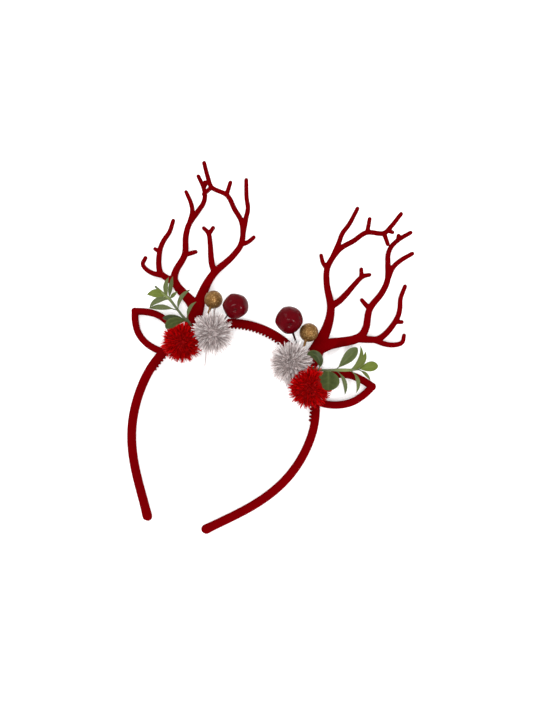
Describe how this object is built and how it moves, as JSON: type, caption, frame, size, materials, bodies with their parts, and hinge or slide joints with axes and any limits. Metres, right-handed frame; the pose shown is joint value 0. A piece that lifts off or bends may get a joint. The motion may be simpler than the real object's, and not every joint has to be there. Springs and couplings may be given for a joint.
{
  "type": "reindeer antler headband",
  "caption": "Open flocked headband with branching antlers, looped ears, tinsel pompoms, glossy berries, glitter balls and leaf sprigs on its front.",
  "frame": {"origin": "on the band's flat back, in the middle of the band at the crown", "axes": "+X to the right as seen from the front, +Y from the crown to the antlers' tips, +Z from the flat back to the front"},
  "size_m": [0.1978, 0.2442, 0.039],
  "materials": {
    "red_flock": "short dark red flock",
    "silver_tinsel": "shiny silver white tinsel",
    "red_tinsel": "shiny red tinsel",
    "gold_glitter": "gold glitter",
    "berry_gloss": "glossy dark red",
    "leaf_green": "satin green"
  },
  "bodies": {
    "root": {"band": "red_flock", "ear_left": "red_flock", "ear_right": "red_flock", "antler_left": "red_flock", "antler_right": "red_flock", "silver_pompom_left": "silver_tinsel", "silver_pompom_right": "silver_tinsel", "red_pompom_left": "red_tinsel", "red_pompom_right": "red_tinsel", "gold_ball_left": "gold_glitter", "gold_ball_right": "gold_glitter", "berry_left": "berry_gloss", "berry_right": "berry_gloss", "leaf_sprig_left": "leaf_green", "leaf_sprig_right": "leaf_green"}
  },
  "joints": []
}
